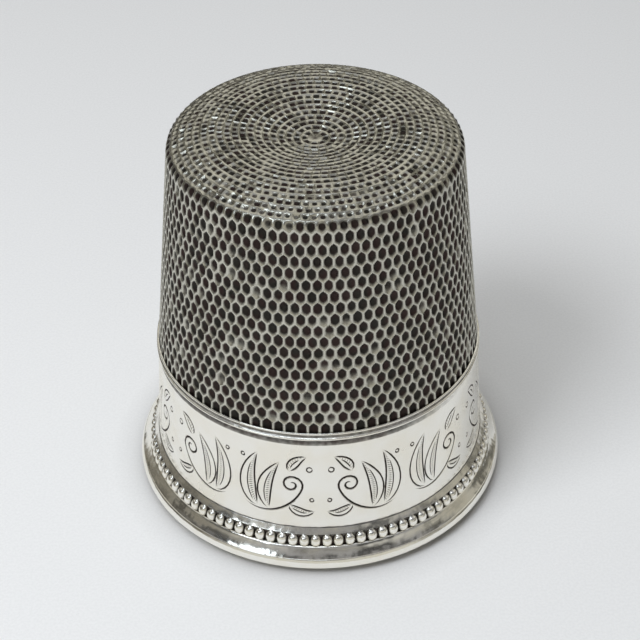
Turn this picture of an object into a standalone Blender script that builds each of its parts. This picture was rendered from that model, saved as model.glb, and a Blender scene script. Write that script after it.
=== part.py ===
"""Thimble-shaped spirit measure in sterling silver, standing on its mouth.

Metres, +Z up. The origin is the centre of the mouth, on the plane the measure stands on.
A drawn cup carries a ridged collar, a beaded strip, a sloped strip and a mouth wire, each
soldered round it. Neighbouring pieces are kept apart by a solder gap.
"""

from math import cos, pi, radians, sin

import bmesh
import bpy

# Driving dimensions
RIM_R = 0.0270  # widest radius, at the mouth wire
HEIGHT = 0.0569  # top of the crown's raised edge
SHEET = 0.0007  # thickness of the drawn sheet
GAP = 0.0003  # solder gap between two pieces
STEPS = 72  # facets round a plain turned piece
BEADS = 98  # beads round the beaded strip

# Crown: a shallow dish inside a raised edge, then a soft shoulder
DISH_DEPTH = 0.0016
CREST_R = 0.0127
SHOULDER_R = 0.0199
SHOULDER_Z = 0.0545
SHOULDER_POWER = 1.7

# Wall and band: one taper above the collar seat and a slighter one below it
SEAT_TOP_R = 0.02292
SEAT_TOP_Z = 0.02355
SEAT_LOW_R = 0.02308
SEAT_LOW_Z = 0.0216
SEAT_DEPTH = 0.00028
MOUTH_R = 0.0242

# Collar ring: two fine ridges in the seat
COLLAR_PROUD = 0.00023
COLLAR_GROOVE = 0.0001

# Strips and wire round the mouth, from the top down
BEAD_TOP_Z = 0.00643
BEAD_LOW_Z = 0.0040
BEAD_R = 0.02555
NOTCH_R = 0.0249
SLOPE_TOP_R = 0.02555
SLOPE_LOW_R = 0.0263
SLOPE_LOW_Z = 0.0029
SLOPE_BULGE = 0.00004
LIP_FACE = 0.00167  # radius of the lip's outer face, above its widest line
BELLY_Z = 0.0015  # height of the lip's widest line
UNDERCUT = 0.0020  # how far the lip draws in underneath, down to the foot
FOOT_IN_R = 0.0247
FOOT_OUT_R = 0.0253

COLLECTION = "thimble_measure"


def clear_scene():
    """Remove every object, so that the script can be run again."""
    for old in list(bpy.data.objects):
        bpy.data.objects.remove(old, do_unlink=True)


def parts_collection():
    """The collection that holds the pieces."""
    found = bpy.data.collections.get(COLLECTION)
    if found is None:
        found = bpy.data.collections.new(COLLECTION)
        bpy.context.scene.collection.children.link(found)
    return found


def silver(name, colour, roughness):
    """A polished or oxidised silver finish."""
    material = bpy.data.materials.new(name)
    material.use_nodes = True
    shader = material.node_tree.nodes["Principled BSDF"]
    shader.inputs["Base Color"].default_value = (*colour, 1.0)
    shader.inputs["Metallic"].default_value = 1.0
    shader.inputs["Roughness"].default_value = roughness
    return material


def turned(name, profile, material, steps=STEPS):
    """A profile of (radius, height) points turned about +Z with a Screw modifier."""
    mesh = bpy.data.meshes.new(name)
    points = [(r, 0.0, z) for r, z in profile]
    closed = profile[0][0] > 0.0
    edges = [(i, i + 1) for i in range(len(points) - 1)]
    if closed:
        edges.append((len(points) - 1, 0))
    mesh.from_pydata(points, edges, [])
    mesh.materials.append(material)
    piece = bpy.data.objects.new(name, mesh)
    parts_collection().objects.link(piece)
    screw = piece.modifiers.new("turn", "SCREW")
    screw.axis = "Z"
    screw.steps = steps
    screw.render_steps = steps
    screw.use_merge_vertices = True
    screw.merge_threshold = 0.00001
    screw.use_smooth_shade = True
    return piece


def arc(centre_r, centre_z, radius, start, stop, count):
    """Points on a circle in the profile plane, from one angle to another, in degrees."""
    turn = [radians(start + (stop - start) * i / (count - 1)) for i in range(count)]
    return [(centre_r + radius * cos(a), centre_z + radius * sin(a)) for a in turn]


def crown(top, shoulder_r, shoulder_z):
    """The dish, its raised edge and the shoulder, from the axis out to the wall."""
    dish = 5
    points = []
    for i in range(dish):
        share = i / dish
        points.append((CREST_R * share, top - DISH_DEPTH * (0.5 + 0.5 * cos(pi * share))))
    count = 7
    power = 2.0 / SHOULDER_POWER
    for i in range(count):
        turn = 0.5 * pi * (1.0 - i / (count - 1))
        across = max(cos(turn), 0.0) ** power
        up = sin(turn) ** power if i < count - 1 else 0.0
        r = CREST_R + (shoulder_r - CREST_R) * across
        points.append((r, shoulder_z + (top - shoulder_z) * up))
    return points


def band_radius(z):
    """Outer radius of the plain band, which runs on down behind the mouth strips."""
    share = (SEAT_LOW_Z - z) / (SEAT_LOW_Z - GAP)
    return SEAT_LOW_R + (MOUTH_R - SEAT_LOW_R) * share


def cup_body(material):
    """The drawn cup: crown, tapered wall with the collar seat, and plain band."""
    outside = crown(HEIGHT, SHOULDER_R, SHOULDER_Z)
    outside += [
        (SEAT_TOP_R, SEAT_TOP_Z),
        (SEAT_TOP_R - SEAT_DEPTH, SEAT_TOP_Z),
        (SEAT_TOP_R - SEAT_DEPTH, SEAT_LOW_Z),
        (SEAT_LOW_R, SEAT_LOW_Z),
        (MOUTH_R, GAP),
    ]
    inside = crown(HEIGHT - SHEET, SHOULDER_R - SHEET, SHOULDER_Z - SHEET)
    inside.append((SEAT_LOW_R - SHEET, SEAT_LOW_Z))
    inside.append((MOUTH_R - SHEET, GAP))
    return turned("cup_body", outside + inside[::-1], material)


def collar_ring(material):
    """The narrow ring of two ridges between the dimpled wall and the band."""
    bore = SEAT_TOP_R - SEAT_DEPTH + GAP
    ridge = SEAT_LOW_R + COLLAR_PROUD
    top = SEAT_TOP_Z - GAP
    low = SEAT_LOW_Z + GAP
    middle = 0.5 * (top + low)
    quarter = 0.25 * (top - low)
    profile = [
        (bore, top),
        (ridge - COLLAR_GROOVE, top),
        (ridge, top - 0.5 * quarter),
        (ridge, middle + 0.5 * quarter),
        (ridge - COLLAR_GROOVE, middle),
        (ridge, middle - 0.5 * quarter),
        (ridge, low + 0.5 * quarter),
        (ridge - COLLAR_GROOVE, low),
        (bore, low),
    ]
    return turned("collar_ring", profile, material)


def beaded_strip(material):
    """A sloping strip whose lower edge is struck into a row of beads."""
    bore = band_radius(BEAD_LOW_Z) + GAP
    tall = BEAD_TOP_Z - BEAD_LOW_Z
    profile = [
        (bore, BEAD_TOP_Z),
        (bore + GAP, BEAD_TOP_Z),
        (NOTCH_R, BEAD_TOP_Z - 0.3 * tall),
        (BEAD_R - GAP, BEAD_LOW_Z + 0.54 * tall),
        (BEAD_R, BEAD_LOW_Z + 0.3 * tall),
        (BEAD_R - GAP, BEAD_LOW_Z + 0.08 * tall),
        (NOTCH_R, BEAD_LOW_Z),
        (bore, BEAD_LOW_Z),
    ]
    plain = turned("beaded_strip", profile, material, steps=2 * BEADS)
    graph = bpy.context.evaluated_depsgraph_get()
    mesh = bpy.data.meshes.new_from_object(plain.evaluated_get(graph), depsgraph=graph)
    plain.modifiers.clear()
    plain.data = mesh
    # Every second section is a notch between two beads: it is drawn in to the notch radius.
    edit = bmesh.new()
    edit.from_mesh(mesh)
    bmesh.ops.remove_doubles(edit, verts=edit.verts, dist=0.000005)
    for vertex in edit.verts:
        radius = vertex.co.xy.length
        section = round(BEADS * vertex.co.xy.angle_signed((1.0, 0.0)) / pi)
        if section % 2 and radius > NOTCH_R + 0.0001:
            vertex.co.xy *= NOTCH_R / radius
    edit.to_mesh(mesh)
    edit.free()
    mesh.shade_smooth()
    mesh.set_sharp_from_angle(angle=radians(35.0))
    return plain


def sloped_strip(material):
    """The short, smooth, slightly swelling slope between the beads and the mouth wire."""
    bore = band_radius(SLOPE_LOW_Z) + GAP
    top = BEAD_LOW_Z - GAP
    middle = (0.5 * (SLOPE_TOP_R + SLOPE_LOW_R) + SLOPE_BULGE, 0.5 * (top + SLOPE_LOW_Z) + SLOPE_BULGE)
    profile = [(bore, top), (SLOPE_TOP_R, top), middle]
    profile += [(SLOPE_LOW_R, SLOPE_LOW_Z), (bore, SLOPE_LOW_Z)]
    return turned("sloped_strip", profile, material)


def mouth_wire(material):
    """The rounded wire at the lip, drawn in underneath to a flat foot."""
    bore = MOUTH_R + GAP
    profile = [(bore, SLOPE_LOW_Z - GAP)]
    profile += arc(RIM_R - LIP_FACE, BELLY_Z, LIP_FACE, 41.0, 0.0, 6)
    for turn in (16.0, 32.0, 47.0, 61.0, 74.0):
        across = 1.0 - cos(radians(turn))
        profile.append((RIM_R - UNDERCUT * across, BELLY_Z * (1.0 - sin(radians(turn)))))
    profile += [(FOOT_OUT_R, 0.0), (FOOT_IN_R, 0.0), (bore, FOOT_IN_R - bore)]
    return turned("mouth_wire", profile, material)


def main():
    clear_scene()
    wall = silver("knurled_silver", (0.62, 0.60, 0.57), 0.34)
    bright = silver("bright_silver", (0.93, 0.92, 0.89), 0.14)
    struck = silver("struck_silver", (0.80, 0.79, 0.76), 0.22)
    cup_body(wall)
    collar_ring(struck)
    beaded_strip(struck)
    sloped_strip(bright)
    mouth_wire(bright)


main()
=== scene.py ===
"""Looks of the thimble-shaped spirit measure: fine meshes, silver finishes, light and camera."""
from math import cos, pi, radians, sin

import bpy
import numpy as np
from mathutils import Matrix, Vector
from mathutils.geometry import delaunay_2d_cdt


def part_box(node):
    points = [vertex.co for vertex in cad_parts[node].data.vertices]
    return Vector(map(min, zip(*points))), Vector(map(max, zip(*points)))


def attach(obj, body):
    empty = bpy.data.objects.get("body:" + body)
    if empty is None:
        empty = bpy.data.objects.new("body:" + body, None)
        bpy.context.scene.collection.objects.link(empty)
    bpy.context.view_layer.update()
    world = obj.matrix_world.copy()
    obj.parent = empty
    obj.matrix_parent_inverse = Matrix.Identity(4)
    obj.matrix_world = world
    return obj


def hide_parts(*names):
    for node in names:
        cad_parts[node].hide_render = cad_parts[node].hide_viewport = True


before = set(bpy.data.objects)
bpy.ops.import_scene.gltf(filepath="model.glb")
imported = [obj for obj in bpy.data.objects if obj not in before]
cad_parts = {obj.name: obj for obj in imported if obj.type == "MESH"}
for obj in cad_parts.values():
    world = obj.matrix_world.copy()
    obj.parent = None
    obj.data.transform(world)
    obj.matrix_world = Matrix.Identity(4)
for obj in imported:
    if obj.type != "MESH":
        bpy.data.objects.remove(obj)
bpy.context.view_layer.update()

MM = 0.001
TAU = 2.0 * pi

# Places read from the frame
RIM_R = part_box("mouth_wire")[1].x
WIRE_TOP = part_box("mouth_wire")[1].z
BEAD_LOW, BEAD_TOP = (corner.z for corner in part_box("beaded_strip"))
BEAD_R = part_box("beaded_strip")[1].x
COLLAR_LOW, COLLAR_TOP = (corner.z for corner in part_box("collar_ring"))
COLLAR_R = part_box("collar_ring")[1].x
MOUTH_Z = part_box("cup_body")[0].z
MOUTH_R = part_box("cup_body")[1].x
CREST_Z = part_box("cup_body")[1].z

# The cup's outer line, as on the solid
SHEET = 0.7 * MM
SHOULDER_R = 0.737 * RIM_R
SHOULDER_Z = CREST_Z - 2.4 * MM
CREST_R = 0.4704 * RIM_R
DISH_DEPTH = 1.6 * MM
SHOULDER_POWER = 1.7
WALL_TAPER = 0.0975
WALL_LOW_Z = COLLAR_TOP - 1.0 * MM
SEAM_Z = BEAD_TOP

# The plain band, a slight cone from the foot of the bevel down to the beaded strip
BAND_TOP_Z = COLLAR_LOW - 0.95 * MM
BAND_TOP_R = 0.8567 * RIM_R
BAND_LOW_R = 0.8913 * RIM_R
BAND_TAPER = (BAND_LOW_R - BAND_TOP_R) / (BAND_TOP_Z - SEAM_Z)

# Dimples on the wall
ROWS = 19
ROUND = 90
ROW_PITCH = 1.731 * MM
LAST_ROW_Z = 23.82 * MM
TOP_ROW_RISE = 0.41
TOP_ROW_WAVE = 0.05
RIDGE = 0.20 * MM
DIMPLE_DEPTH = 0.36 * MM
TOP_PIT_SHARE = 0.90
TOP_EDGE_TARNISH = 0.42

# A six-sided cell's corners and mid-sides, anticlockwise from the top: how far each lies from the
# middle, as shares of the half width and of the row pitch, and how far the pit is drawn in from it
SIX_ACROSS = np.array([0.0, -0.5, -1.0, -1.0, -1.0, -0.5, 0.0, 0.5, 1.0, 1.0, 1.0, 0.5])
SIX_ALONG = np.array([4.0, 3.0, 2.0, 0.0, -2.0, -3.0, -4.0, -3.0, -2.0, 0.0, 2.0, 3.0]) / 6.0
PIT_SHAPE = np.array([0.95, 0.96, 0.84, 0.88, 0.84, 0.96, 0.95, 0.96, 0.84, 0.88, 0.84, 0.96])

# Size, depth and tarnish of a pit's two rings, as shares, and how unlike one another pits are
PIT_RINGS = ((1.0, 0.20, 0.46), (0.62, 0.86, 1.0))
PIT_WOBBLE = 0.025
PIT_LEAN = 0.03
PIT_UNEVEN = 0.12
PIT_CLEANED = 0.25
# How much lighter a pit's lower lip is painted than its top: painted shade
PIT_TOP_SHADE_STEP = 0.28
PIT_WORN_CHANCE = 0.08
PIT_WORN_TARNISH = (0.50, 0.62)

# Cells on the crown
CROWN_PITCH = 1.035 * MM
CROWN_CELL = 1.12 * MM
CROWN_LAND = 0.34 * MM
CROWN_FLAT = 0.12 * MM
CROWN_BAR = 0.24 * MM
CROWN_DEPTH = 0.25 * MM
CROWN_WEAR = 0.045 * MM
CROWN_WORN_ROWS = 7.0
CROWN_RINGS = ((1.0, 0.50, 0.32), (0.64, 0.93, 0.95))
CROWN_TARNISH = (0.54, 0.96)
CROWN_LAND_TARNISH = (0.06, 0.34)
CROWN_SIDE_TARNISH = 0.22
CROWN_SAG = 0.03 * MM

# A four-sided cell's corners and mid-sides, anticlockwise from the upper middle
FOUR_ACROSS = np.array([0.0, -1.0, -1.0, -1.0, 0.0, 1.0, 1.0, 1.0])
FOUR_ALONG = np.array([1.0, 1.0, 0.0, -1.0, -1.0, -1.0, 0.0, 1.0])

# Engraving on the band, in millimetres where it is drawn flat
UNITS = 12
UNIT_COLUMNS = 4 * ROUND // UNITS
UNIT_LEVELS = 10
UNIT_WIDTH = 12.36
ENGRAVE_LOW = SEAM_Z + 0.35 * MM
ENGRAVE_TOP = BAND_TOP_Z - 0.35 * MM
SPRIG_LOW_Z = 7.9 * MM
SPRIG_SIZE = (0.95, 1.0)
SPRIG_EDGE = 0.40
LINE_HALF = 0.17
LINE_DEPTH = 0.14
HATCH_PITCH = 0.40
HATCH_HALF = 0.085
HATCH_DEPTH = 0.07
INNER_COLUMNS = 120

# Beads: pearls that lean out with the strip
BEADS = 98
BEAD_COLUMNS = 9
PEARL_SHARE = 0.96
PEARL_LENGTH = 0.82 * MM
PEARL_RISE = 0.62 * MM
PEARL_LEAN = radians(13.4)
PEARL_GAP = 0.14 * MM
PLAIN_ROW = 0.3

# Lip: an outer face that turns under to the foot
LIP_FACE = 1.33 * MM
BELLY_Z = 1.65 * MM
UNDERCUT = 1.0 * MM

# Finishes: the colour of clean silver and of tarnish on each, and a dull film on wall and crown
CUP_CLEAN, CUP_DARK = (0.90, 0.88, 0.82), (0.044, 0.036, 0.033)
STRUCK_CLEAN, STRUCK_DARK = (0.91, 0.89, 0.83), (0.05, 0.042, 0.036)
BRIGHT_CLEAN, BRIGHT_DARK = (0.91, 0.89, 0.83), (0.06, 0.05, 0.042)
WALL_FILM = (0.54, 0.525, 0.455)
STAIN = 0.25
SCRATCH = 0.12
STRUCK_WAVE = 0.20 * MM
BRIGHT_WAVE = 0.12 * MM

# Setting and camera
FLOOR = 1.0
FLOOR_FADE = (0.22, 0.42)
# Painted contact shadow on the cloth: how far it reaches and its colour
CONTACT_REACH = 5.0 * MM
CONTACT_SHADE = (0.36, 0.355, 0.355)
ROOM_LEFT = (0.20, 0.19, 0.165)
ROOM_RIGHT = (0.33, 0.32, 0.28)
ROOM_FRONT = (0.62, 0.61, 0.56)
ROOM_TOP = (0.20, 0.20, 0.205)
ROOM_TOP_BACK = (0.88, 0.87, 0.81)
ROOM_ZENITH = (0.54, 0.55, 0.58)
ROOM_PATCHES = 5.0
ROOM_LOW_RANGE = (0.35, 1.30)
ROOM_TOP_RANGE = (0.25, 1.60)
ROOM_DIFFUSE_CUT = 0.52
LAMP_REACH = 0.50
KEY_COLOUR = (0.97, 0.98, 1.0)
PANEL_COLOUR = (0.97, 0.985, 1.0)
WINDOW_COLOUR = (0.80, 0.90, 1.0)
BACKDROP = (0.66, 0.66, 0.67)
SENSOR = 36.0
FOCAL_SHARE = 2.6691
VIEW_DISTANCE = 9.700
VIEW_RISE = 42.81
VIEW_PAN = -0.0012
VIEW_TILT = 0.0724
VIEW_ROLL = 0.91


# ---------------------------------------------------------------- mesh building

class Shell:
    """Gathers points, faces and the tarnish at each point, then makes one mesh object."""

    def __init__(self):
        self.points = []
        self.tarnish = []
        self.faces = []
        self.count = 0

    def add(self, points, tarnish=0.0):
        points = np.asarray(points, float).reshape(-1, 3)
        self.points.append(points)
        self.tarnish.append(np.broadcast_to(np.asarray(tarnish, float), len(points)))
        start = self.count
        self.count += len(points)
        return np.arange(start, self.count)

    def quads(self, low, high):
        """Quads between two closed rings of the same count; high lies above low, seen from outside."""
        after_low = np.roll(low, -1)
        after_high = np.roll(high, -1)
        self.faces += np.stack([low, after_low, after_high, high], 1).tolist()

    def zip(self, low, low_turn, high, high_turn):
        """Triangles between two closed rings of any counts, matched by their angles."""
        low, low_turn = by_angle(low, low_turn)
        high, high_turn = by_angle(high, high_turn)
        n, m = len(low), len(high)
        i = j = 0
        while i < n or j < m:
            next_low = low_turn[(i + 1) % n] + TAU * ((i + 1) // n)
            next_high = high_turn[(j + 1) % m] + TAU * ((j + 1) // m)
            if j >= m or (i < n and next_low <= next_high):
                self.faces.append([int(low[i % n]), int(low[(i + 1) % n]), int(high[j % m])])
                i += 1
            else:
                self.faces.append([int(low[i % n]), int(high[(j + 1) % m]), int(high[j % m])])
                j += 1

    def fan(self, ring, centre):
        """Triangles from a closed ring to one point."""
        after = np.roll(ring, -1)
        self.faces += [[int(a), int(b), int(centre)] for a, b in zip(ring, after)]

    def make(self, name, material, sharp=None):
        used = np.zeros(self.count, bool)
        for face in self.faces:
            used[face] = True
        place = np.cumsum(used) - 1
        faces = [[int(place[i]) for i in face] for face in self.faces]
        mesh = bpy.data.meshes.new(name)
        mesh.from_pydata(np.concatenate(self.points)[used].tolist(), [], faces)
        field = mesh.attributes.new("tarnish", "FLOAT", "POINT")
        field.data.foreach_set("value", np.concatenate(self.tarnish)[used].astype(np.float32))
        mesh.materials.append(material)
        mesh.shade_smooth()
        if sharp is not None:
            mesh.set_sharp_from_angle(angle=radians(sharp))
        mesh.validate()
        piece = bpy.data.objects.new(name, mesh)
        bpy.context.scene.collection.objects.link(piece)
        return piece


def by_angle(ring, turn):
    """A ring's points and angles, both sorted by angle from 0 up."""
    turn = np.mod(turn, TAU)
    order = np.argsort(turn)
    return np.asarray(ring)[order], turn[order]


def turned_ring(shell, r, z, turn, tarnish=0.0):
    """One ring of points at a radius and height, either of which may vary round it."""
    r = np.broadcast_to(r, turn.shape)
    z = np.broadcast_to(z, turn.shape)
    return shell.add(np.stack([r * np.cos(turn), r * np.sin(turn), z], 1), tarnish)


def arc(centre_r, centre_z, radius, start, stop, count):
    """Points on a circle in the profile plane, from one angle to another, in degrees."""
    turn = np.radians(np.linspace(start, stop, count))
    return list(zip(centre_r + radius * np.cos(turn), centre_z + radius * np.sin(turn)))


def lathe(name, profile, material, columns=360, sharp=30.0, tarnish=None):
    """A closed profile that runs down its outer side, turned about +Z."""
    shell = Shell()
    turn = np.linspace(0.0, TAU, columns, endpoint=False)
    rings = []
    for i, (r, z) in enumerate(profile):
        rings.append(turned_ring(shell, r, z, turn, 0.0 if tarnish is None else tarnish[i]))
    for above, below in zip(rings, rings[1:] + rings[:1]):
        shell.quads(below, above)
    return shell.make(name, material, sharp)


class Meridian:
    """The cup's outer line above the collar, measured along its length."""

    def __init__(self, points):
        points = np.array(points)
        step = np.hypot(*np.diff(points, axis=0).T)
        self.length = np.concatenate([[0.0], np.cumsum(step)])
        self.r, self.z = points.T
        self.total = self.length[-1]
        slope = np.stack([np.gradient(self.r, self.length), np.gradient(self.z, self.length)])
        self.slope = slope / np.hypot(*slope)

    def at(self, s):
        """Radius and height at a length along the line."""
        return np.interp(s, self.length, self.r), np.interp(s, self.length, self.z)

    def place(self, turn, s, depth=0.0):
        """Points at an angle and length, sunk below the surface by a depth."""
        turn, s, depth = np.broadcast_arrays(turn, s, depth)
        r, z = self.at(s)
        along_r = np.interp(s, self.length, self.slope[0])
        along_z = np.interp(s, self.length, self.slope[1])
        r = r - depth * along_z
        z = z + depth * along_r
        return np.stack([r * np.cos(turn), r * np.sin(turn), z], -1)


def shoulder_curve(top, shoulder_r, shoulder_z, count):
    """Shoulder and dish from the wall to the axis."""
    points = []
    for i in range(count):
        turn = 0.5 * pi * i / (count - 1)
        across = max(cos(turn), 0.0) ** (2.0 / SHOULDER_POWER)
        up = sin(turn) ** (2.0 / SHOULDER_POWER)
        points.append((CREST_R + (shoulder_r - CREST_R) * across,
                       shoulder_z + (top - shoulder_z) * up))
    for i in range(1, count):
        share = 1.0 - i / (count - 1)
        points.append((CREST_R * share, top - DISH_DEPTH * (0.5 + 0.5 * cos(pi * share))))
    return points


# ---------------------------------------------------------------- cup body

def dimpled_wall(shell, line, first_s):
    """Rows of six-sided dimples. Returns the lowest and the highest ring, each with its angles."""
    columns = 4 * ROUND
    turn = np.arange(columns) * TAU / columns
    phase = np.arange(columns) % 4
    wave = np.array([1.0, 0.0, -1.0, 0.0])
    rings = []
    draw = np.random.default_rng(7)
    for i in range(-1, ROWS):
        shift = 2 * (i % 2)
        rise = 0.5 + wave[(phase - shift) % 4] / 6.0
        held = 0.0
        if i == -1:
            rise = 1.0 / 3.0
        if i == ROWS - 1:
            rise = TOP_ROW_RISE + TOP_ROW_WAVE * wave[(phase - shift) % 4]
            held = draw.uniform(0.0, TOP_EDGE_TARNISH, columns)
        rings.append(shell.add(line.place(turn, first_s + ROW_PITCH * (i + rise)), held))
    for i in range(ROWS):
        below, above = rings[i], rings[i + 1]
        s0 = first_s + ROW_PITCH * i
        centre = (4 * np.arange(ROUND) + 2 * (i % 2)) % columns
        side = shell.add(line.place(turn[(centre + 2) % columns], s0), 0.0)
        edge = np.stack([
            above[centre], above[(centre - 1) % columns], above[(centre - 2) % columns],
            np.roll(side, 1),
            below[(centre - 2) % columns], below[(centre - 1) % columns], below[centre],
            below[(centre + 1) % columns], below[(centre + 2) % columns],
            side,
            above[(centre + 2) % columns], above[(centre + 1) % columns],
        ], 1)
        dimple_row(shell, line, turn[centre], s0, edge, draw, i)
    return (rings[0], turn), (rings[-1], turn)


def six_sided(row):
    """A cell's reach along the wall at each outline point. The collar and the shoulder cut it short."""
    along = SIX_ALONG.copy()
    if row == 0:
        along[4:9] = -2.0 / 3.0
    if row == ROWS - 1:
        along[[10, 11, 0, 1, 2]] = TOP_ROW_RISE + TOP_ROW_WAVE * np.array([-1.0, 0, 1, 0, -1.0])
    return along


def dimple_row(shell, line, turn, s0, edge, draw, row):
    """The pits of one row: a rounded edge, a steep wall and a bowl."""
    half = pi / ROUND
    along = six_sided(row)
    inset = 1.0 - RIDGE * 0.5 / (half * line.at(s0)[0])
    shape = inset * PIT_SHAPE * (TOP_PIT_SHARE if row == ROWS - 1 else 1.0)
    n = len(turn)
    wobble = 1.0 + PIT_WOBBLE * draw.standard_normal((n, 1))
    lean = PIT_LEAN * draw.standard_normal((n, 2))
    deep = DIMPLE_DEPTH * (1.0 + PIT_UNEVEN * draw.standard_normal((n, 1)))
    held = 1.0 - PIT_CLEANED * draw.random((n, 1)) ** 2
    worn = draw.random((n, 1)) < (PIT_WORN_CHANCE if row else 0.0)
    held = np.where(worn, draw.uniform(*PIT_WORN_TARNISH, (n, 1)), held)
    # Each pit's patina is painted lighter at its lower lip than at its top, as painted shade, except
    # beside the collar
    painted_top_shade = 1.0 - (PIT_TOP_SHADE_STEP if row else 0.0) * np.clip(-1.5 * along, 0.0, 1.0)
    rings = []
    for share, depth, dark in PIT_RINGS:
        a = turn[:, None] + half * (SIX_ACROSS * shape * share * wobble + lean[:, :1] * (1 - share))
        s = s0 + ROW_PITCH * (along * shape * share * wobble + lean[:, 1:] * (1 - share))
        points = line.place(a, s, deep * depth)
        rings.append(shell.add(points, (dark * held * painted_top_shade).ravel()).reshape(n, 12))
    middle = shell.add(line.place(turn + half * lean[:, 0], s0 + ROW_PITCH * lean[:, 1], deep[:, 0]),
                       held[:, 0])
    pit_faces(shell, edge, rings, middle)


def pit_faces(shell, edge, rings, middle):
    """The faces of a row of pits, from each one's edge down over its rings to its middle."""
    for above, below in zip([edge] + rings, rings):
        faces = np.stack([above, np.roll(above, -1, 1), np.roll(below, -1, 1), below], 2)
        shell.faces += faces.reshape(-1, 4).tolist()
    last = rings[-1]
    middles = np.repeat(middle[:, None], last.shape[1], 1)
    fans = np.stack([last, np.roll(last, -1, 1), middles], 2)
    shell.faces += fans.reshape(-1, 3).tolist()


def crown_cells(shell, line, start_s, below):
    """Rings of small cells from the shoulder in to the middle of the dish."""
    draw = np.random.default_rng(11)
    ring, ring_turn = below
    rings = int((line.total - start_s) / CROWN_PITCH)
    for k in range(rings):
        centre_s = start_s + CROWN_PITCH * (k + 0.5)
        r, _ = line.at(centre_s)
        cells = int(round(TAU * r / CROWN_CELL))
        if cells < 5:
            break
        low_s = centre_s - 0.5 * (CROWN_PITCH - CROWN_FLAT)
        high_s = centre_s + 0.5 * (CROWN_PITCH - CROWN_FLAT)
        outer = max(0.0, 1.0 - k / CROWN_WORN_ROWS)
        low, high, both = cell_row(shell, line, cells, (low_s, centre_s, high_s), r, outer, draw)
        shell.zip(ring, ring_turn, low, both)
        ring, ring_turn = high, both
    centre = shell.add(line.place(0.0, line.total, 0.1 * MM), 0.5)
    ring, _ = by_angle(ring, ring_turn)
    shell.fan(ring, centre[0])


def cell_row(shell, line, cells, levels, r, outer, draw):
    """One ring of cells, each with an eight-point edge shared with its neighbours, and a pit.

    The outer rings are the most worn: their edges are rougher, and their pits rounder and cleaner.
    """
    low_s, mid_s, high_s = levels
    start = draw.uniform(0.0, TAU)
    step = TAU / cells
    turn = start + step * np.arange(cells)
    jitter = 0.06 * step * draw.standard_normal(cells)
    corner_turn = turn - 0.5 * step + jitter
    wear = CROWN_WEAR * (1.0 + 1.4 * outer)
    least, spread = CROWN_LAND_TARNISH
    low_corner, low_mid, high_corner, high_mid = (
        shell.add(line.place(at, s, draw.uniform(0.0, wear, cells)),
                  least + spread * outer * draw.random(cells))
        for at, s in ((corner_turn, low_s), (turn, low_s), (corner_turn, high_s), (turn, high_s)))
    side = shell.add(line.place(corner_turn, mid_s, CROWN_SAG), CROWN_SIDE_TARNISH)
    edge = np.stack([
        high_mid, high_corner, side, low_corner, low_mid,
        np.roll(low_corner, -1), np.roll(side, -1), np.roll(high_corner, -1),
    ], 1)
    soft = np.tile([1.0, 0.86 - 0.10 * outer], 4)
    half_turn = 0.5 * step * (1.0 - CROWN_BAR / (step * r))
    half_s = 0.5 * (CROWN_PITCH - CROWN_LAND)
    size = 1.0 + 0.06 * draw.standard_normal((cells, 1))
    deep = CROWN_DEPTH * (1.0 + 0.2 * draw.standard_normal((cells, 1)))
    held = draw.uniform(*CROWN_TARNISH, (cells, 1)) * (1.0 - 0.28 * outer)
    rings = []
    for share, depth, dark in CROWN_RINGS:
        a = turn[:, None] + half_turn * FOUR_ACROSS * soft * share * size
        s = mid_s + half_s * FOUR_ALONG * soft * share * size
        tarnish = np.repeat(dark * held, 8)
        rings.append(shell.add(line.place(a, s, deep * depth), tarnish).reshape(cells, 8))
    middle = shell.add(line.place(turn, mid_s, deep[:, 0]), held[:, 0])
    pit_faces(shell, edge, rings, middle)
    low = np.concatenate([low_corner, low_mid])
    high = np.concatenate([high_corner, high_mid])
    both = np.concatenate([corner_turn, turn])
    return low, high, both


def wall_line():
    """The outer line from behind the collar, up the wall and in over the crown."""
    height = np.linspace(WALL_LOW_Z, SHOULDER_Z, 24, endpoint=False)
    wall = [(SHOULDER_R + WALL_TAPER * (SHOULDER_Z - z), z) for z in height]
    return Meridian(wall + shoulder_curve(CREST_Z, SHOULDER_R, SHOULDER_Z, 40))


def band_radius(z):
    """Radius of the plain band at a height."""
    return BAND_TOP_R + BAND_TAPER * (BAND_TOP_Z - z)


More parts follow.
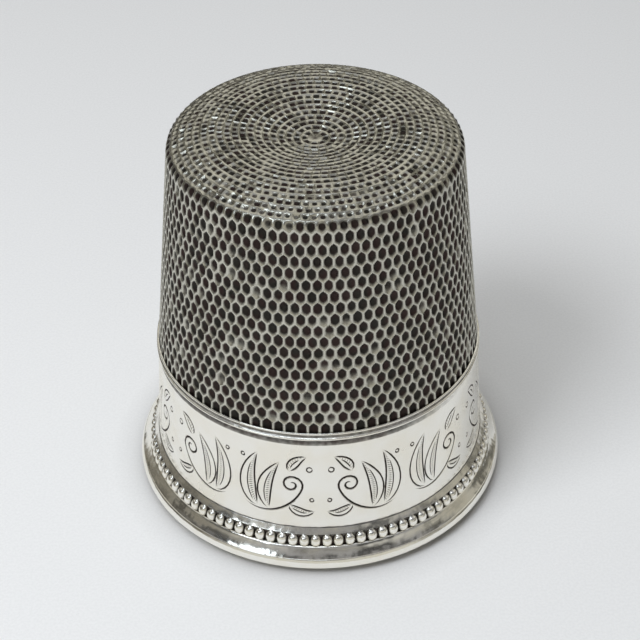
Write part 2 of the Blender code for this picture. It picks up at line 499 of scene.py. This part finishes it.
def cup_body(material):
    """The drawn cup: crown cells, dimpled wall, engraved band and the plain inside."""
    shell = Shell()
    line = wall_line()
    first_s = (LAST_ROW_Z - WALL_LOW_Z) * (1.0 + WALL_TAPER ** 2) ** 0.5
    low, high = dimpled_wall(shell, line, first_s)
    crown_start = first_s + ROW_PITCH * (ROWS - 1 + TOP_ROW_RISE + TOP_ROW_WAVE) + 0.04 * MM
    crown_cells(shell, line, crown_start, high)
    ring, turn = low
    # The recess under the collar is darkened with tarnish and painted shade, and painted lighter on the
    # right
    recess_shade = 1.0 - 0.6 * np.clip((np.cos(turn) - 0.45) / 0.4, 0.0, 1.0)
    ring = ring_path(shell, ring, turn, [
        (BAND_TOP_R - 0.17 * MM, COLLAR_LOW + 0.45 * MM, 0.6),
        (BAND_TOP_R - 0.22 * MM, COLLAR_LOW + 0.05 * MM, 0.8),
        (BAND_TOP_R - 0.20 * MM, COLLAR_LOW - 0.05 * MM, 0.52 * recess_shade),
        (BAND_TOP_R - 0.15 * MM, COLLAR_LOW - 0.45 * MM, 0.50 * recess_shade),
        (BAND_TOP_R - 0.04 * MM, BAND_TOP_Z + 0.14 * MM, 0.42 * recess_shade),
        (BAND_TOP_R + 0.00 * MM, BAND_TOP_Z - 0.01 * MM, 0.0),
        (band_radius(ENGRAVE_TOP), ENGRAVE_TOP, 0.0),
    ])
    ring = engraved_band(shell, ring)
    inset = band_radius(SEAM_Z)
    ring = ring_path(shell, ring, turn, [
        (inset - 0.005 * MM, SEAM_Z + 0.06 * MM, 0.0),
        (inset - 0.01 * MM, SEAM_Z - 0.01 * MM, 0.2),
        (inset - 0.04 * MM, SEAM_Z - 0.07 * MM, 0.5),
        (inset - 0.08 * MM, WIRE_TOP, 0.6),
        (MOUTH_R, WIRE_TOP - 0.6 * MM, 0.3),
        (MOUTH_R, MOUTH_Z + 0.06 * MM, 0.1),
        (MOUTH_R - 0.06 * MM, MOUTH_Z, 0.0),
    ])
    cup_inside(shell, ring, turn)
    piece = shell.make("cup_body_fine", material, sharp=40.0)
    set_band_normals(piece.data)
    return piece


def cup_inside(shell, mouth, mouth_turn):
    """The plain inside, from the ring round the outside of the mouth up to the crown."""
    turn = np.linspace(0.0, TAU, INNER_COLUMNS, endpoint=False)
    edge = turned_ring(shell, MOUTH_R - SHEET + 0.06 * MM, MOUTH_Z, turn)
    shell.zip(edge, turn, mouth, mouth_turn)
    curve = shoulder_curve(CREST_Z - SHEET, SHOULDER_R - SHEET, SHOULDER_Z - SHEET, 14)
    inside = [(MOUTH_R - SHEET, MOUTH_Z + 0.06 * MM, 0.0),
              (BAND_TOP_R - 0.04 * MM - SHEET, BAND_TOP_Z, 0.0)]
    inside += [(r, z, 0.0) for r, z in curve[:-1]]
    edge = ring_path(shell, edge, turn, inside)
    centre = shell.add((0.0, 0.0, curve[-1][1]), 0.0)
    shell.fan(edge, centre[0])


def ring_path(shell, ring, turn, path):
    """Plain rings after one another along the outline, from the one given. Returns the last."""
    for r, z, tarnish in path:
        after = turned_ring(shell, r, z, turn, tarnish)
        shell.quads(after, ring)
        ring = after
    return ring


# ---------------------------------------------------------------- engraving on the band

def bezier(a, b, c, d, count):
    """Points on a cubic curve."""
    a, b, c, d = (np.array(p, float) for p in (a, b, c, d))
    t = np.linspace(0.0, 1.0, count)[:, None]
    return a * (1 - t) ** 3 + 3 * b * t * (1 - t) ** 2 + 3 * c * t ** 2 * (1 - t) + d * t ** 3


def sideways(points):
    """Unit normals of a line of points, to the left of its direction."""
    along = np.gradient(points, axis=0)
    along = along / np.hypot(*along.T)[:, None]
    return np.stack([-along[:, 1], along[:, 0]], 1)


def cut(points, half, depth):
    """One engraved stroke: its line, half width and depth, which fade at both ends."""
    share = np.linspace(0.0, 1.0, len(points))
    swell = np.minimum(1.0, 6.0 * np.minimum(share, 1.0 - share)) ** 0.6
    return points, half * swell, depth * swell


def leaf(spine, widest, lean=1.0):
    """A pointed leaf: two edges, a midrib and hatching over one half."""
    share = np.linspace(0.0, 1.0, len(spine))
    width = widest * np.sin(pi * share ** 0.8) ** 0.9
    width[0] = width[-1] = 0.0
    across = sideways(spine)
    strokes = [
        cut(spine + across * width[:, None], LINE_HALF, LINE_DEPTH),
        cut(spine - across * width[:, None], LINE_HALF, LINE_DEPTH),
        cut(spine[1:-2], LINE_HALF * 0.7, LINE_DEPTH * 0.7),
    ]
    length = np.concatenate([[0.0], np.cumsum(np.hypot(*np.diff(spine, axis=0).T))])
    for start in np.arange(0.5, length[-1] - 0.9, HATCH_PITCH):
        root = [np.interp(start, length, spine[:, i]) for i in (0, 1)]
        end = min(start + 0.35 * widest, length[-1])
        tip = [np.interp(end, length, spine[:, i] + lean * across[:, i] * width * 0.9)
               for i in (0, 1)]
        line = np.array([root, [(root[0] + tip[0]) / 2, (root[1] + tip[1]) / 2], tip])
        strokes.append((line, np.array([0.0, HATCH_HALF, 0.0]), np.array([0.0, HATCH_DEPTH, 0.0])))
    return strokes


def sprig():
    """The strokes of one sprig, in millimetres: a curled stem, leaves, a bud and a ring."""
    stem = bezier((1.2, 1.7), (4.6, -0.6), (8.9, 2.3), (9.9, 5.4), 14)
    turn = np.radians(np.linspace(-23.5, 480.0, 22))[1:]
    radius = np.linspace(1.70, 0.30, 22)[1:]
    curl = np.stack([8.34 + radius * np.cos(turn), 6.08 + radius * np.sin(turn)], 1)
    strokes = [cut(np.concatenate([stem, curl]), LINE_HALF * 1.25, LINE_DEPTH * 1.2)]
    strokes += leaf(bezier((3.1, 1.3), (1.0, 3.6), (1.1, 7.6), (3.3, 11.0), 13), 1.2, -1.0)
    strokes += leaf(bezier((4.9, 1.2), (3.4, 4.2), (4.4, 7.0), (6.6, 9.9), 13), 1.05, -1.0)
    strokes += leaf(bezier((7.9, 2.5), (8.9, 1.2), (10.4, 0.7), (11.7, 1.5), 9), 0.7)
    strokes += leaf(bezier((8.0, 8.4), (8.2, 9.6), (9.2, 10.6), (10.6, 11.1), 9), 0.75)
    for u, v, size in ((11.0, 8.9, 0.42), (11.3, 3.5, 0.30), (0.9, 9.9, 0.30)):
        around = np.linspace(0.0, 1.13 * TAU, 11)
        ring = np.stack([u + size * np.cos(around), v + size * np.sin(around)], 1)
        strokes.append(cut(ring, LINE_HALF * 0.8, LINE_DEPTH * 0.8))
    return strokes


def cut_depth(points, strokes):
    """Depth of the engraving at each point, from its distance to every stroke."""
    depth = np.zeros(len(points))
    for line, half, deep in strokes:
        start, step = line[:-1], np.diff(line, axis=0)
        reach = np.maximum((step ** 2).sum(1), 1e-12)
        offset = points[:, None] - start[None]
        share = np.clip((offset * step).sum(2) / reach, 0.0, 1.0)
        gap = np.hypot(*np.moveaxis(offset - share[..., None] * step, 2, 0))
        width = np.maximum(half[:-1] + share * np.diff(half), 1e-6)
        here = (deep[:-1] + share * np.diff(deep)) * np.clip(1.0 - gap / width, 0.0, 1.0)
        depth = np.maximum(depth, here.max(1))
    return np.where(depth < 0.002, 0.0, depth)


def engraved_patch(strokes):
    """A flat patch of the band cut along every stroke: points, depths and triangles."""
    wide, tall = UNIT_WIDTH, (ENGRAVE_TOP - ENGRAVE_LOW) / MM
    columns = np.linspace(0.0, wide, UNIT_COLUMNS + 1)
    levels = np.linspace(0.0, tall, UNIT_LEVELS + 1)
    points, edges = [], []

    def chain(line, closed=False):
        start = len(points)
        points.extend(Vector((float(u), float(v))) for u, v in line)
        count = len(points) - start
        edges.extend((start + i, start + i + 1) for i in range(count - 1))
        if closed:
            edges.append((start + count - 1, start))

    chain([(u, 0.0) for u in columns] + [(wide, v) for v in levels[1:]]
          + [(u, tall) for u in columns[-2::-1]] + [(0.0, v) for v in levels[-2:0:-1]], True)
    for u in columns[2:-1:2]:
        for v in levels[1:-1]:
            points.append(Vector((float(u), float(v))))
    for line, half, _ in strokes:
        across = sideways(line)[1:-1] * half[1:-1, None]
        inner = line[1:-1]
        chain(np.concatenate([line[:1], inner + across, line[-1:], (inner - across)[::-1]]), True)
        chain(line)
    verts, _, faces, _, _, _ = delaunay_2d_cdt(points, edges, [], 0, 1e-5, False)
    flat = np.array([(v.x, v.y) for v in verts])
    return flat, cut_depth(flat, strokes), np.array(faces)


def patch_seams(shell, low, top):
    """The upright lines of points that neighbouring patches share."""
    levels = np.linspace(ENGRAVE_LOW, ENGRAVE_TOP, UNIT_LEVELS + 1)
    seams = []
    for unit in range(UNITS):
        angle = np.full(len(levels), unit * TAU / UNITS)
        seam = shell.add(round_band(angle, levels, 0.0))
        seam[0], seam[-1] = low[unit * UNIT_COLUMNS], top[unit * UNIT_COLUMNS]
        seams.append(seam)
    return seams


def engraved_band(shell, top):
    """Cut patches side by side round the band. Returns the lowest ring."""
    turn = np.arange(4 * ROUND) * TAU / (4 * ROUND)
    low = turned_ring(shell, band_radius(ENGRAVE_LOW), ENGRAVE_LOW, turn)
    lift = SPRIG_LOW_Z / MM - ENGRAVE_LOW / MM
    strokes = [(line * SPRIG_SIZE + (SPRIG_EDGE, lift), half, deep)
               for line, half, deep in sprig()]
    flat, depth, faces = engraved_patch(strokes)
    seams = patch_seams(shell, low, top)
    column = np.rint(flat[:, 0] / UNIT_WIDTH * UNIT_COLUMNS).astype(int)
    level = np.rint(flat[:, 1] * MM / (ENGRAVE_TOP - ENGRAVE_LOW) * UNIT_LEVELS).astype(int)
    edge = 1e-4
    on_left = flat[:, 0] < edge
    on_right = flat[:, 0] > UNIT_WIDTH - edge
    on_low = flat[:, 1] < edge
    on_top = flat[:, 1] > (ENGRAVE_TOP - ENGRAVE_LOW) / MM - edge
    for unit in range(UNITS):
        mirrored = unit % 2 == 1
        u = UNIT_WIDTH - flat[:, 0] if mirrored else flat[:, 0]
        here = UNIT_COLUMNS - column if mirrored else column
        angle = (unit + u / UNIT_WIDTH) * TAU / UNITS
        index = shell.add(round_band(angle, ENGRAVE_LOW + flat[:, 1] * MM, depth * MM),
                          np.clip(1.4 * depth / LINE_DEPTH, 0.0, 1.0))
        first = on_right if mirrored else on_left
        last = on_left if mirrored else on_right
        index = np.where(first, seams[unit][level], index)
        index = np.where(last, seams[(unit + 1) % UNITS][level], index)
        ring_place = (unit * UNIT_COLUMNS + here) % len(low)
        index = np.where(on_low, low[ring_place], index)
        index = np.where(on_top, top[ring_place], index)
        made = index[faces]
        shell.faces += (made[:, ::-1] if mirrored else made).tolist()
    return low


def round_band(angle, z, depth):
    """Points on the band at an angle and height, sunk by a depth."""
    r = band_radius(z) - depth
    return np.stack([r * np.cos(angle), r * np.sin(angle), z], 1)


def set_band_normals(mesh):
    """Smooth cone normals on the plain faces of the band and crisp ones in the cuts."""
    count = len(mesh.vertices)
    place = np.empty(count * 3, np.float32)
    mesh.vertices.foreach_get("co", place)
    place = place.reshape(-1, 3).astype(float)
    corner = np.empty(len(mesh.loops), np.int32)
    mesh.loops.foreach_get("vertex_index", corner)
    total = np.empty(len(mesh.polygons), np.int32)
    mesh.polygons.foreach_get("loop_total", total)
    face = np.repeat(np.arange(len(total)), total)
    flat_normal = np.empty(len(total) * 3, np.float32)
    mesh.polygons.foreach_get("normal", flat_normal)
    flat_normal = flat_normal.reshape(-1, 3)
    radius = np.hypot(place[:, 0], place[:, 1])
    depth = band_radius(place[:, 2]) - radius
    edge = 1e-6
    inside = (place[:, 2] < ENGRAVE_TOP + edge) & (place[:, 2] > ENGRAVE_LOW - edge)
    inside &= depth < 0.25 * MM
    on_band = np.minimum.reduceat(inside[corner].astype(int), np.cumsum(total) - total) > 0
    sunk = np.maximum.reduceat(depth[corner], np.cumsum(total) - total) > edge
    cone = np.stack([place[:, 0] / radius.clip(1e-9), place[:, 1] / radius.clip(1e-9),
                     np.full(count, BAND_TAPER)], 1)
    cone /= np.hypot(1.0, BAND_TAPER)
    normals = np.where(sunk[face][:, None], flat_normal[face], cone[corner])
    normals[~on_band[face]] = 0.0
    mesh.normals_split_custom_set(normals.tolist())


# ---------------------------------------------------------------- collar, strips and wire

def collar_ring(material):
    """Two fine turned ridges with a dark channel between them."""
    bore = BAND_TOP_R - 0.17 * MM
    upper = (COLLAR_R - 0.26 * MM, COLLAR_TOP - 0.17 * MM, 0.17 * MM)
    lower = (COLLAR_R - 0.19 * MM, COLLAR_LOW + 0.29 * MM, 0.19 * MM)
    profile = [(bore, COLLAR_TOP)] + arc(*upper, 95.0, -60.0, 10)
    profile += [(COLLAR_R - 0.26 * MM, COLLAR_TOP - 0.50 * MM),
                (COLLAR_R - 0.25 * MM, COLLAR_TOP - 0.78 * MM)]
    profile += arc(*lower, 75.0, -75.0, 11)
    profile += [(COLLAR_R - 0.24 * MM, COLLAR_LOW + 0.08 * MM), (bore, COLLAR_LOW)]
    dark = [0.3, 0.15] + [0.0] * 8 + [0.25, 0.46, 0.44, 0.2] + [0.0] * 9 + [0.3, 0.6, 0.8]
    return lathe("collar_ring_fine", profile, material, tarnish=dark)


def bead_rows():
    """The strip's rows from the top down, closed behind.

    Each holds the place down the middle of a pearl, the place down the gap between two, the
    pearl's width there and the tarnish.
    """
    bore = BAND_LOW_R - 0.06 * MM
    along = np.array([sin(PEARL_LEAN), -cos(PEARL_LEAN)])
    outward = np.array([cos(PEARL_LEAN), sin(PEARL_LEAN)])
    middle = np.array([BEAD_R, BEAD_TOP - 1.60 * MM]) - PEARL_RISE * outward
    rows = []
    for inward, down, dark in ((1.49, 0.01, 0.7), (1.42, 0.06, 0.35), (1.36, 0.13, 0.0),
                               (1.13, 0.38, 0.0), (0.86, 0.67, 0.0), (0.79, 0.73, 0.3)):
        place = (BEAD_R - inward * MM, BEAD_TOP - down * MM)
        rows.append((place, place, PLAIN_ROW, dark))
    for turn in np.radians([-74.0, -60.0, -44.0, -27.0, -9.0, 9.0, 27.0, 44.0, 60.0, 76.0]):
        base = middle + along * (PEARL_LENGTH * sin(turn))
        rows.append((base + outward * (PEARL_RISE * cos(turn)), base - outward * PEARL_GAP,
                     cos(turn) ** (0.50 if turn < 0.0 else 0.85), 0.74 + 0.26 * sin(turn)))
    for place in ((BEAD_R - 0.62 * MM, BEAD_LOW), (bore, BEAD_LOW), (bore, BEAD_TOP - 0.02 * MM)):
        rows.append((place, place, PLAIN_ROW, 1.0))
    return rows


def beaded_strip(material):
    """A plain slope above a row of pearls, which stand on a darkened ground."""
    lateral = np.radians(np.linspace(-90.0, 90.0, BEAD_COLUMNS))
    shell = Shell()
    rings = []
    for centre, gap, width, dark in bead_rows():
        half = 0.5 * PEARL_SHARE * width
        place = np.concatenate([half * np.sin(lateral), np.linspace(half, 1.0 - half, 4)[1:-1]])
        lift = np.concatenate([np.cos(lateral) ** 0.8, [0.0, 0.0]])
        lift[[0, BEAD_COLUMNS - 1]] = 0.0
        turn = ((np.arange(BEADS)[:, None] + place) * TAU / BEADS).ravel()
        lift = np.tile(lift, BEADS)
        r = gap[0] + (centre[0] - gap[0]) * lift
        z = gap[1] + (centre[1] - gap[1]) * lift
        held = dark * (1.0 - lift) if width > PLAIN_ROW else dark
        rings.append(turned_ring(shell, r, z, turn, held))
    for above, below in zip(rings, rings[1:] + rings[:1]):
        shell.quads(below, above)
    return shell.make("beaded_strip_fine", material, sharp=60.0)


def sloped_strip(material):
    """A dark ledge under the beads, a fine turn and a slightly hollow slope to the wire."""
    bore = BAND_LOW_R - 0.04 * MM
    top = BEAD_LOW - 0.04 * MM
    low_r, low_z = RIM_R - 0.42 * MM, WIRE_TOP + 0.04 * MM
    profile = [(bore, top), (BEAD_R - 0.6 * MM, top), (BEAD_R - 0.34 * MM, top)]
    profile += arc(BEAD_R - 0.50 * MM, top - 0.62 * MM, 0.62 * MM, 75.0, 50.0, 6)
    start_r, start_z = profile[-1]
    for share in (0.2, 0.4, 0.6, 0.8):
        hollow = 0.11 * MM * share * (1.0 - share)
        profile.append((start_r + (low_r - start_r) * share - hollow,
                        start_z + (low_z - start_z) * share - hollow))
    profile += [(low_r, low_z), (low_r - 0.05 * MM, WIRE_TOP + 0.02 * MM),
                (bore, WIRE_TOP + 0.02 * MM)]
    dark = [1.0, 1.0, 0.6, 0.2] + [0.0] * 10 + [0.1, 0.5]
    return lathe("sloped_strip_fine", profile, material, sharp=50.0, tarnish=dark)


def mouth_wire(material):
    """The rounded lip, drawn in underneath to a narrow flat foot."""
    bore = MOUTH_R + 0.1 * MM
    profile = [(bore, WIRE_TOP - 0.01 * MM), (RIM_R - 0.55 * MM, WIRE_TOP - 0.01 * MM)]
    profile += arc(RIM_R - LIP_FACE, BELLY_Z, LIP_FACE, 45.5, 0.0, 14)
    profile += arc(RIM_R - UNDERCUT, BELLY_Z, UNDERCUT, -7.0, -75.0, 10)
    profile += [(RIM_R - 1.25 * MM, 0.42 * MM), (RIM_R - 1.55 * MM, 0.12 * MM),
                (RIM_R - 1.70 * MM, 0.0), (RIM_R - 2.3 * MM, 0.0), (bore, 0.3 * MM)]
    return lathe("mouth_wire_fine", profile, material, sharp=50.0)


# ---------------------------------------------------------------- finishes

def node(tree, kind, inputs=None, **settings):
    """A shader node with its settings, values and links."""
    made = tree.nodes.new(kind)
    for name, value in settings.items():
        setattr(made, name, value)
    for name, value in (inputs or {}).items():
        if isinstance(value, bpy.types.NodeSocket):
            tree.links.new(value, made.inputs[name])
        else:
            made.inputs[name].default_value = value
    return made


def maths(tree, operation, a, b=0.0, clamp=False):
    """One arithmetic node's result."""
    return node(tree, "ShaderNodeMath", {0: a, 1: b}, operation=operation,
                use_clamp=clamp).outputs[0]


def smooth(tree, value, low, high, to_low=0.0, to_high=1.0):
    """A value eased from one range to another."""
    made = node(tree, "ShaderNodeMapRange", {0: value, 1: low, 2: high, 3: to_low, 4: to_high},
                interpolation_type="SMOOTHSTEP")
    return made.outputs[0]


def noise(tree, vector, scale, detail=3.0, roughness=0.55):
    """Fractal noise from 0 to 1."""
    made = node(tree, "ShaderNodeTexNoise", {"Vector": vector, "Scale": scale, "Detail": detail,
                                            "Roughness": roughness})
    return made.outputs["Fac"]


def blend_colour(tree, share, a, b):
    """A mix of two colours."""
    made = node(tree, "ShaderNodeMix", data_type="RGBA")
    for place, value in ((0, share), (6, a), (7, b)):
        if isinstance(value, bpy.types.NodeSocket):
            tree.links.new(value, made.inputs[place])
        else:
            made.inputs[place].default_value = value
    return made.outputs[2]


def scaled(tree, colour, share):
    """A colour times a share."""
    return node(tree, "ShaderNodeVectorMath", {0: colour, "Scale": share},
                operation="SCALE").outputs[0]


def silver(name, bright, dark, sheen, wave=0.0, cup=False):
    """Silver whose hollows hold tarnish, with mottling and fine turned scratches."""
    material = bpy.data.materials.new(name)
    material.use_nodes = True
    tree = material.node_tree
    shader = tree.nodes["Principled BSDF"]
    place = node(tree, "ShaderNodeTexCoord").outputs["Object"]
    held = node(tree, "ShaderNodeAttribute", attribute_name="tarnish").outputs["Fac"]
    fine = noise(tree, place, 1500.0, 3.0)
    cloud = noise(tree, place, 190.0, 4.0)
    uneven = maths(tree, "MULTIPLY", maths(tree, "SUBTRACT", fine, 0.5), STAIN)
    amount = smooth(tree, maths(tree, "ADD", held, uneven), 0.10, 0.62)
    if cup:
        amount = maths(tree, "MAXIMUM", amount, solder_line(tree, place))
    clean = clean_silver(tree, place, cloud, bright, cup)
    colour = blend_colour(tree, amount, clean, tarnished(tree, place, dark))
    polish = maths(tree, "ADD", smooth(tree, cloud, 0.3, 0.75, sheen, sheen * 1.6),
                   maths(tree, "MULTIPLY", amount, 0.35))
    tree.links.new(colour, shader.inputs["Base Color"])
    tree.links.new(polish, shader.inputs["Roughness"])
    tree.links.new(turned_lines(tree, place, fine, wave), shader.inputs["Normal"])
    shader.inputs["Metallic"].default_value = 1.0
    return material


def clean_silver(tree, place, cloud, bright, cup):
    """The colour of clean silver, mottled, and on the cup filmed over from the collar up."""
    warm = tuple(bright[i] * (0.97, 0.95, 0.90)[i] for i in range(3))
    clean = blend_colour(tree, smooth(tree, cloud, 0.35, 0.72), (*bright, 1.0), (*warm, 1.0))
    if cup:
        height = node(tree, "ShaderNodeSeparateXYZ", {0: place}).outputs[2]
        film = smooth(tree, height, COLLAR_LOW, COLLAR_TOP)
        clean = blend_colour(tree, film, clean, (*WALL_FILM, 1.0))
    return clean


def tarnished(tree, place, dark):
    """The colour of tarnish, which wanders between red-brown and green-grey."""
    return blend_colour(tree, smooth(tree, noise(tree, place, 520.0, 1.0), 0.35, 0.65),
                        (*(dark[i] * (1.18, 0.97, 0.98)[i] for i in range(3)), 1.0),
                        (*(dark[i] * (0.92, 1.05, 1.00)[i] for i in range(3)), 1.0))


def turned_lines(tree, place, fine, wave):
    """Normals with a slow swell and the fine lines of the lathe: noise drawn out round the axis."""
    split = node(tree, "ShaderNodeSeparateXYZ", {0: place})
    turn = maths(tree, "ARCTAN2", split.outputs[1], split.outputs[0])
    line_place = node(tree, "ShaderNodeCombineXYZ", {
        0: maths(tree, "MULTIPLY", turn, 6.0), 1: maths(tree, "MULTIPLY", split.outputs[2], 9000.0),
        2: 0.0}).outputs[0]
    lines = noise(tree, line_place, 1.0, 2.0)
    height = maths(tree, "ADD", maths(tree, "MULTIPLY", lines, 0.5), fine)
    swell = node(tree, "ShaderNodeBump", {"Strength": 1.0, "Distance": wave,
                                         "Height": noise(tree, place, 330.0, 2.0)})
    return node(tree, "ShaderNodeBump", {"Strength": SCRATCH, "Distance": 0.02 * MM,
                                        "Height": height, "Normal": swell.outputs[0]}).outputs[0]


def solder_line(tree, place):
    """Tarnish held in the irregular seam between the band and the beaded strip."""
    height = node(tree, "ShaderNodeSeparateXYZ", {0: place}).outputs[2]
    ragged = maths(tree, "MULTIPLY", maths(tree, "SUBTRACT", noise(tree, place, 420.0, 3.0), 0.5),
                   0.5 * MM)
    above = maths(tree, "SUBTRACT", height, SEAM_Z)
    wide = maths(tree, "ABSOLUTE", maths(tree, "SUBTRACT", above, ragged))
    line = smooth(tree, wide, 0.24 * MM, 0.06 * MM)
    broken = smooth(tree, noise(tree, place, 260.0, 2.0), 0.36, 0.58)
    return maths(tree, "MULTIPLY", line, maths(tree, "MULTIPLY", broken, 0.7))


# ---------------------------------------------------------------- setting

def floor_cloth():
    """Pale cloth with a painted contact shadow close to the measure, that runs into the backdrop far
    off.
    """
    material = bpy.data.materials.new("floor_cloth")
    material.use_nodes = True
    tree = material.node_tree
    shader = tree.nodes["Principled BSDF"]
    place = node(tree, "ShaderNodeTexCoord").outputs["Object"]
    weave = noise(tree, place, 2600.0, 2.0)
    colour = blend_colour(tree, smooth(tree, weave, 0.3, 0.7), (0.80, 0.80, 0.80, 1.0),
                          (0.84, 0.84, 0.84, 1.0))
    # Painted contact shadow: an occlusion mask darkens the cloth's colour near the measure, but not
    # where the silver mirrors it
    near = node(tree, "ShaderNodeAmbientOcclusion", {"Distance": CONTACT_REACH}, samples=8)
    path = node(tree, "ShaderNodeLightPath")
    shade = maths(tree, "MAXIMUM", maths(tree, "POWER", near.outputs["AO"], 1.2),
                  path.outputs["Is Glossy Ray"])
    colour = blend_colour(tree, shade, (*CONTACT_SHADE, 1.0), colour)
    tree.links.new(colour, shader.inputs["Base Color"])
    shader.inputs["Roughness"].default_value = 0.9
    shader.inputs["Specular IOR Level"].default_value = 0.1
    bump = node(tree, "ShaderNodeBump", {"Strength": 0.15, "Distance": 0.00005, "Height": weave})
    tree.links.new(bump.outputs[0], shader.inputs["Normal"])
    away = node(tree, "ShaderNodeVectorMath", {0: place}, operation="LENGTH").outputs["Value"]
    far = maths(tree, "MULTIPLY", smooth(tree, away, *FLOOR_FADE), path.outputs["Is Camera Ray"])
    plain = node(tree, "ShaderNodeEmission", {"Color": (*BACKDROP, 1.0)})
    both = node(tree, "ShaderNodeMixShader", {0: far, 1: shader.outputs[0], 2: plain.outputs[0]})
    tree.links.new(both.outputs[0], tree.nodes["Material Output"].inputs["Surface"])
    return material


def floor():
    """A wide pale cloth-covered table."""
    mesh = bpy.data.meshes.new("floor")
    mesh.from_pydata([(-FLOOR, -FLOOR, 0.0), (FLOOR, -FLOOR, 0.0), (FLOOR, FLOOR, 0.0),
                      (-FLOOR, FLOOR, 0.0)], [], [(0, 1, 2, 3)])
    mesh.materials.append(floor_cloth())
    piece = bpy.data.objects.new("floor", mesh)
    bpy.context.scene.collection.objects.link(piece)


def area_light(name, place, aim, size, power, colour):
    """A soft rectangular light that points at a place."""
    data = bpy.data.lights.new(name, "AREA")
    data.shape = "RECTANGLE"
    data.size, data.size_y = size
    data.energy = power
    data.color = colour
    lamp = bpy.data.objects.new(name, data)
    lamp.location = place
    lamp.rotation_euler = (Vector(aim) - Vector(place)).to_track_quat("-Z", "Y").to_euler()
    bpy.context.scene.collection.objects.link(lamp)
    return lamp


def room():
    """The room that the silver mirrors: dim and patchy at the sides, paler in front and behind."""
    world = bpy.data.worlds.new("room")
    bpy.context.scene.world = world
    world.use_nodes = True
    tree = world.node_tree
    tree.nodes.clear()
    way = node(tree, "ShaderNodeTexCoord").outputs["Generated"]
    split = node(tree, "ShaderNodeSeparateXYZ", {0: way})
    low = blend_colour(tree, smooth(tree, split.outputs[0], -0.2, 0.8),
                       (*ROOM_LEFT, 1.0), (*ROOM_RIGHT, 1.0))
    patches = noise(tree, way, ROOM_PATCHES, 2.0)
    low = scaled(tree, low, smooth(tree, patches, 0.38, 0.62, *ROOM_LOW_RANGE))
    low = blend_colour(tree, smooth(tree, split.outputs[1], -0.72, -0.30), (*ROOM_FRONT, 1.0), low)
    top = scaled(tree, ROOM_TOP, smooth(tree, patches, 0.40, 0.60, *ROOM_TOP_RANGE))
    top = blend_colour(tree, smooth(tree, split.outputs[1], -0.2, 0.5), top,
                       (*ROOM_TOP_BACK, 1.0))
    high = blend_colour(tree, smooth(tree, split.outputs[2], 0.80, 0.97), top,
                        (*ROOM_ZENITH, 1.0))
    light = blend_colour(tree, smooth(tree, split.outputs[2], 0.42, 0.66), low, high)
    # The cloth takes less of the room's light than the silver mirrors, so that contact shadows hold,
    # and seen directly the room is a plain backdrop
    path = node(tree, "ShaderNodeLightPath")
    light = blend_colour(tree, path.outputs["Is Camera Ray"], light, (*BACKDROP, 1.0))
    strength = maths(tree, "SUBTRACT", 1.0,
                     maths(tree, "MULTIPLY", path.outputs["Is Diffuse Ray"], ROOM_DIFFUSE_CUT))
    back = node(tree, "ShaderNodeBackground", {"Color": light, "Strength": strength})
    out = node(tree, "ShaderNodeOutputWorld")
    tree.links.new(back.outputs[0], out.inputs[0])


def lights():
    """Two lamps that light the table, and two windows that show in the silver."""
    aim = (0.0, 0.0, 0.02)
    key = area_light("key_lamp", toward(-140.0, 56.0), aim, (0.20, 0.16), 1.08, KEY_COLOUR)
    panel = area_light("ceiling_panel", (-0.05, -0.05, 0.90), aim, (0.60, 0.60), 2.6,
                       PANEL_COLOUR)
    key.visible_glossy = False
    panel.visible_glossy = False
    area_light("window_left", toward(-137.0, 50.0), aim, (0.18, 0.18), 0.28, WINDOW_COLOUR)
    area_light("window_front", toward(-100.0, 68.0), aim, (0.14, 0.12), 0.11, WINDOW_COLOUR)


def toward(turn, rise):
    """A point at the lamps' distance, at an angle round the axis and a height angle."""
    turn, rise = radians(turn), radians(rise)
    return Vector((cos(rise) * cos(turn), cos(rise) * sin(turn), sin(rise))) * LAMP_REACH


def camera():
    """The camera, set off axis as it was held: it aims below the measure and leans slightly."""
    data = bpy.data.cameras.new("camera")
    data.sensor_width = SENSOR
    data.lens = SENSOR * FOCAL_SHARE
    elevation = radians(VIEW_RISE)
    right = Vector((1.0, 0.0, 0.0))
    ahead = Vector((0.0, cos(elevation), -sin(elevation)))
    over = right.cross(ahead)
    pan, tilt, roll = VIEW_PAN, VIEW_TILT, radians(VIEW_ROLL)
    side = right * cos(pan) + ahead * sin(pan)
    forward = ahead * cos(pan) - right * sin(pan)
    level = over * cos(tilt) - forward * sin(tilt)
    forward = over * sin(tilt) + forward * cos(tilt)
    x_axis = side * cos(roll) - level * sin(roll)
    y_axis = side * sin(roll) + level * cos(roll)
    turn = Matrix((x_axis, y_axis, -forward)).transposed().to_4x4()
    eye = bpy.data.objects.new("camera", data)
    away = -ahead * (VIEW_DISTANCE * RIM_R)
    eye.matrix_world = Matrix.Translation(away) @ turn
    bpy.context.scene.collection.objects.link(eye)
    bpy.context.scene.camera = eye
    data.clip_start = 0.01
    data.clip_end = 20.0


def stand_in(piece, node_name):
    """Rides a finished piece on the body and lets it stand for its node."""
    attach(piece, "root")
    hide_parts(node_name)


def main():
    dimpled = silver("dimpled_silver", CUP_CLEAN, CUP_DARK, 0.18, cup=True)
    struck = silver("struck_silver", STRUCK_CLEAN, STRUCK_DARK, 0.14, wave=STRUCK_WAVE)
    polished = silver("bright_silver", BRIGHT_CLEAN, BRIGHT_DARK, 0.10, wave=BRIGHT_WAVE)
    stand_in(cup_body(dimpled), "cup_body")
    stand_in(collar_ring(struck), "collar_ring")
    stand_in(beaded_strip(struck), "beaded_strip")
    stand_in(sloped_strip(polished), "sloped_strip")
    stand_in(mouth_wire(polished), "mouth_wire")
    floor()
    room()
    lights()
    camera()
    bpy.context.scene.view_settings.view_transform = "Standard"


main()
